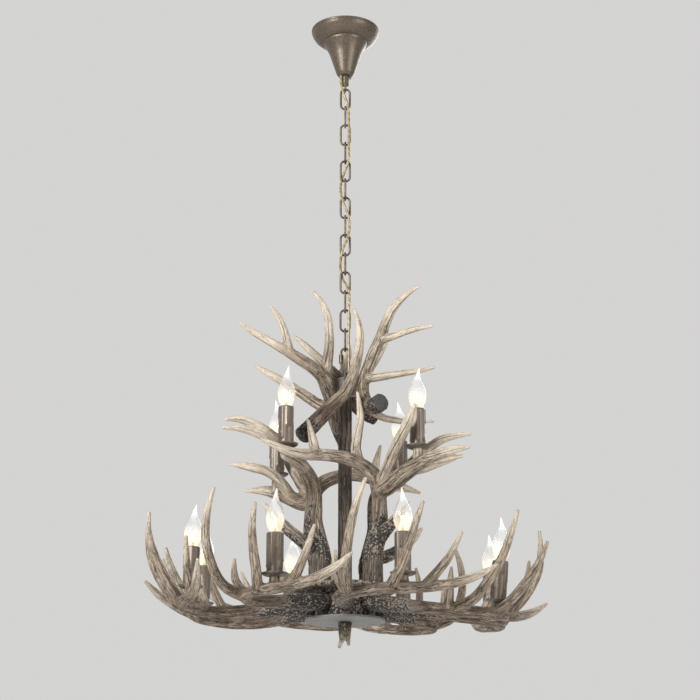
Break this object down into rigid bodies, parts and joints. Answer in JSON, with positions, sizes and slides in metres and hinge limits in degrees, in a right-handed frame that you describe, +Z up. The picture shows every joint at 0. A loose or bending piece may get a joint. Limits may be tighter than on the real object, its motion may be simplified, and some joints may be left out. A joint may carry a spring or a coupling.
{
  "type": "antler chandelier",
  "caption": "Chandelier of cast antlers in three tiers round a bark-textured column, with candle lamps on drip pans, hung by a link chain and cord from a bell-shaped ceiling canopy.",
  "frame": {"origin": "middle of the canopy's rim, on the ceiling, midway between the bracket's screw holes", "axes": "+Z up into the ceiling, +X to the right seen from the front, the pictured front faces -Y"},
  "size_m": [0.8058, 0.8044, 1.3527],
  "materials": {
    "bronze": "satin antique bronze",
    "steel": "satin",
    "cap_grey": "satin grey",
    "cord": "clear gold",
    "bark": "dark bark",
    "antler": "bone with brown wash",
    "pan": "satin brown",
    "candle": "dripped brown",
    "holder": "plain",
    "bulb": "clear, lit warm"
  },
  "bodies": {
    "ceiling_set": {"ceiling_bracket": "steel", "hanger_stem": "steel", "canopy": "bronze", "canopy_loop": "bronze", "set_screws": "steel", "supply_cord": "cord"},
    "link_01": {"chain_link_01": "bronze"},
    "link_02": {"chain_link_02": "bronze"},
    "link_03": {"chain_link_03": "bronze"},
    "link_04": {"chain_link_04": "bronze"},
    "link_05": {"chain_link_05": "bronze"},
    "link_06": {"chain_link_06": "bronze"},
    "link_07": {"chain_link_07": "bronze"},
    "link_08": {"chain_link_08": "bronze"},
    "link_09": {"chain_link_09": "bronze"},
    "link_10": {"chain_link_10": "bronze"},
    "link_11": {"chain_link_11": "bronze"},
    "link_12": {"chain_link_12": "bronze"},
    "link_13": {"chain_link_13": "bronze"},
    "link_14": {"chain_link_14": "bronze"},
    "quick_link": {"quick_link": "bronze"},
    "gate_sleeve": {"quick_link_sleeve": "bronze"},
    "chandelier": {"column_cap": "cap_grey", "column_rod": "steel", "column_sleeve": "bark", "antler_bolts": "steel", "hub": "bark", "hub_plate": "cap_grey", "bottom_finial": "bark", "drip_pans": "pan", "candle_sleeves": "candle", "lamp_holders": "holder", "top_antler_1": "antler", "top_antler_2": "antler", "top_antler_3": "antler", "top_antler_4": "antler", "mid_antler_1": "antler", "mid_antler_2": "antler", "mid_antler_3": "antler", "mid_antler_4": "antler", "lower_antler_1": "antler", "lower_antler_2": "antler", "lower_antler_3": "antler", "lower_antler_4": "antler", "lower_antler_5": "antler", "lower_antler_6": "antler", "lower_antler_7": "antler", "lower_antler_8": "antler"},
    "lamp_01": {"bulb_01": "bulb"},
    "lamp_02": {"bulb_02": "bulb"},
    "lamp_03": {"bulb_03": "bulb"},
    "lamp_04": {"bulb_04": "bulb"},
    "lamp_05": {"bulb_05": "bulb"},
    "lamp_06": {"bulb_06": "bulb"},
    "lamp_07": {"bulb_07": "bulb"},
    "lamp_08": {"bulb_08": "bulb"},
    "lamp_09": {"bulb_09": "bulb"},
    "lamp_10": {"bulb_10": "bulb"},
    "lamp_11": {"bulb_11": "bulb"},
    "lamp_12": {"bulb_12": "bulb"}
  },
  "joints": [
    {"name": "hang_01", "type": "hinge", "parent": "ceiling_set", "child": "link_01", "pos_m": [0, 0, -0.1456], "axis": [0, 1, 0], "range_deg": [-8, 8], "deforming": ["supply_cord"]},
    {"name": "hang_02", "type": "hinge", "parent": "link_01", "child": "link_02", "pos_m": [0, 0, -0.1877], "axis": [1, 0, 0], "range_deg": [-8, 8], "deforming": ["supply_cord"]},
    {"name": "hang_03", "type": "hinge", "parent": "link_02", "child": "link_03", "pos_m": [0, 0, -0.2298], "axis": [0, 1, 0], "range_deg": [-8, 8], "deforming": ["supply_cord"]},
    {"name": "hang_04", "type": "hinge", "parent": "link_03", "child": "link_04", "pos_m": [0, 0, -0.2719], "axis": [1, 0, 0], "range_deg": [-8, 8], "deforming": ["supply_cord"]},
    {"name": "hang_05", "type": "hinge", "parent": "link_04", "child": "link_05", "pos_m": [0, 0, -0.314], "axis": [0, 1, 0], "range_deg": [-8, 8], "deforming": ["supply_cord"]},
    {"name": "hang_06", "type": "hinge", "parent": "link_05", "child": "link_06", "pos_m": [0, 0, -0.3561], "axis": [1, 0, 0], "range_deg": [-8, 8], "deforming": ["supply_cord"]},
    {"name": "hang_07", "type": "hinge", "parent": "link_06", "child": "link_07", "pos_m": [0, 0, -0.3982], "axis": [0, 1, 0], "range_deg": [-8, 8], "deforming": ["supply_cord"]},
    {"name": "hang_08", "type": "hinge", "parent": "link_07", "child": "link_08", "pos_m": [0, 0, -0.4403], "axis": [1, 0, 0], "range_deg": [-8, 8], "deforming": ["supply_cord"]},
    {"name": "hang_09", "type": "hinge", "parent": "link_08", "child": "link_09", "pos_m": [0, 0, -0.4824], "axis": [0, 1, 0], "range_deg": [-8, 8], "deforming": ["supply_cord"]},
    {"name": "hang_10", "type": "hinge", "parent": "link_09", "child": "link_10", "pos_m": [0, 0, -0.5245], "axis": [1, 0, 0], "range_deg": [-8, 8], "deforming": ["supply_cord"]},
    {"name": "hang_11", "type": "hinge", "parent": "link_10", "child": "link_11", "pos_m": [0, 0, -0.5666], "axis": [0, 1, 0], "range_deg": [-8, 8], "deforming": ["supply_cord"]},
    {"name": "hang_12", "type": "hinge", "parent": "link_11", "child": "link_12", "pos_m": [0, 0, -0.6087], "axis": [1, 0, 0], "range_deg": [-8, 8], "deforming": ["supply_cord"]},
    {"name": "hang_13", "type": "hinge", "parent": "link_12", "child": "link_13", "pos_m": [0, 0, -0.6508], "axis": [0, 1, 0], "range_deg": [-8, 8], "deforming": ["supply_cord"]},
    {"name": "hang_14", "type": "hinge", "parent": "link_13", "child": "link_14", "pos_m": [0, 0, -0.6929], "axis": [1, 0, 0], "range_deg": [-8, 8], "deforming": ["supply_cord"]},
    {"name": "hang_15", "type": "hinge", "parent": "link_14", "child": "quick_link", "pos_m": [0, 0, -0.735], "axis": [0, 1, 0], "range_deg": [-8, 8], "deforming": ["supply_cord"]},
    {"name": "hang_16", "type": "hinge", "parent": "quick_link", "child": "chandelier", "pos_m": [0, 0, -0.7861], "axis": [1, 0, 0], "range_deg": [-8, 8], "deforming": ["supply_cord"]},
    {"name": "gate_slide", "type": "slide", "parent": "quick_link", "child": "gate_sleeve", "axis": [0, 0, -1], "range_m": [0, 0.0133]},
    {"name": "bulb_pull_01", "type": "slide", "parent": "chandelier", "child": "lamp_01", "axis": [0, 0, 1], "range_m": [0, 0.035]},
    {"name": "bulb_pull_02", "type": "slide", "parent": "chandelier", "child": "lamp_02", "axis": [0, 0, 1], "range_m": [0, 0.035]},
    {"name": "bulb_pull_03", "type": "slide", "parent": "chandelier", "child": "lamp_03", "axis": [0.0243, 0.0098, 0.9997], "range_m": [0, 0.035]},
    {"name": "bulb_pull_04", "type": "slide", "parent": "chandelier", "child": "lamp_04", "axis": [0.0796, -0.0354, 0.9962], "range_m": [0, 0.035]},
    {"name": "bulb_pull_05", "type": "slide", "parent": "chandelier", "child": "lamp_05", "axis": [0.0482, -0.0204, 0.9986], "range_m": [0, 0.035]},
    {"name": "bulb_pull_06", "type": "slide", "parent": "chandelier", "child": "lamp_06", "axis": [0.0243, 0.0098, 0.9997], "range_m": [0, 0.035]},
    {"name": "bulb_pull_07", "type": "slide", "parent": "chandelier", "child": "lamp_07", "axis": [-0.017, -0.0402, 0.999], "range_m": [0, 0.035]},
    {"name": "bulb_pull_08", "type": "slide", "parent": "chandelier", "child": "lamp_08", "axis": [0.0392, -0.0969, 0.9945], "range_m": [0, 0.035]},
    {"name": "bulb_pull_09", "type": "slide", "parent": "chandelier", "child": "lamp_09", "axis": [0, 0, 1], "range_m": [0, 0.035]},
    {"name": "bulb_pull_10", "type": "slide", "parent": "chandelier", "child": "lamp_10", "axis": [0, 0, 1], "range_m": [0, 0.035]},
    {"name": "bulb_pull_11", "type": "slide", "parent": "chandelier", "child": "lamp_11", "axis": [0, 0, 1], "range_m": [0, 0.035]},
    {"name": "bulb_pull_12", "type": "slide", "parent": "chandelier", "child": "lamp_12", "axis": [0, 0, 1], "range_m": [0, 0.035]}
  ]
}
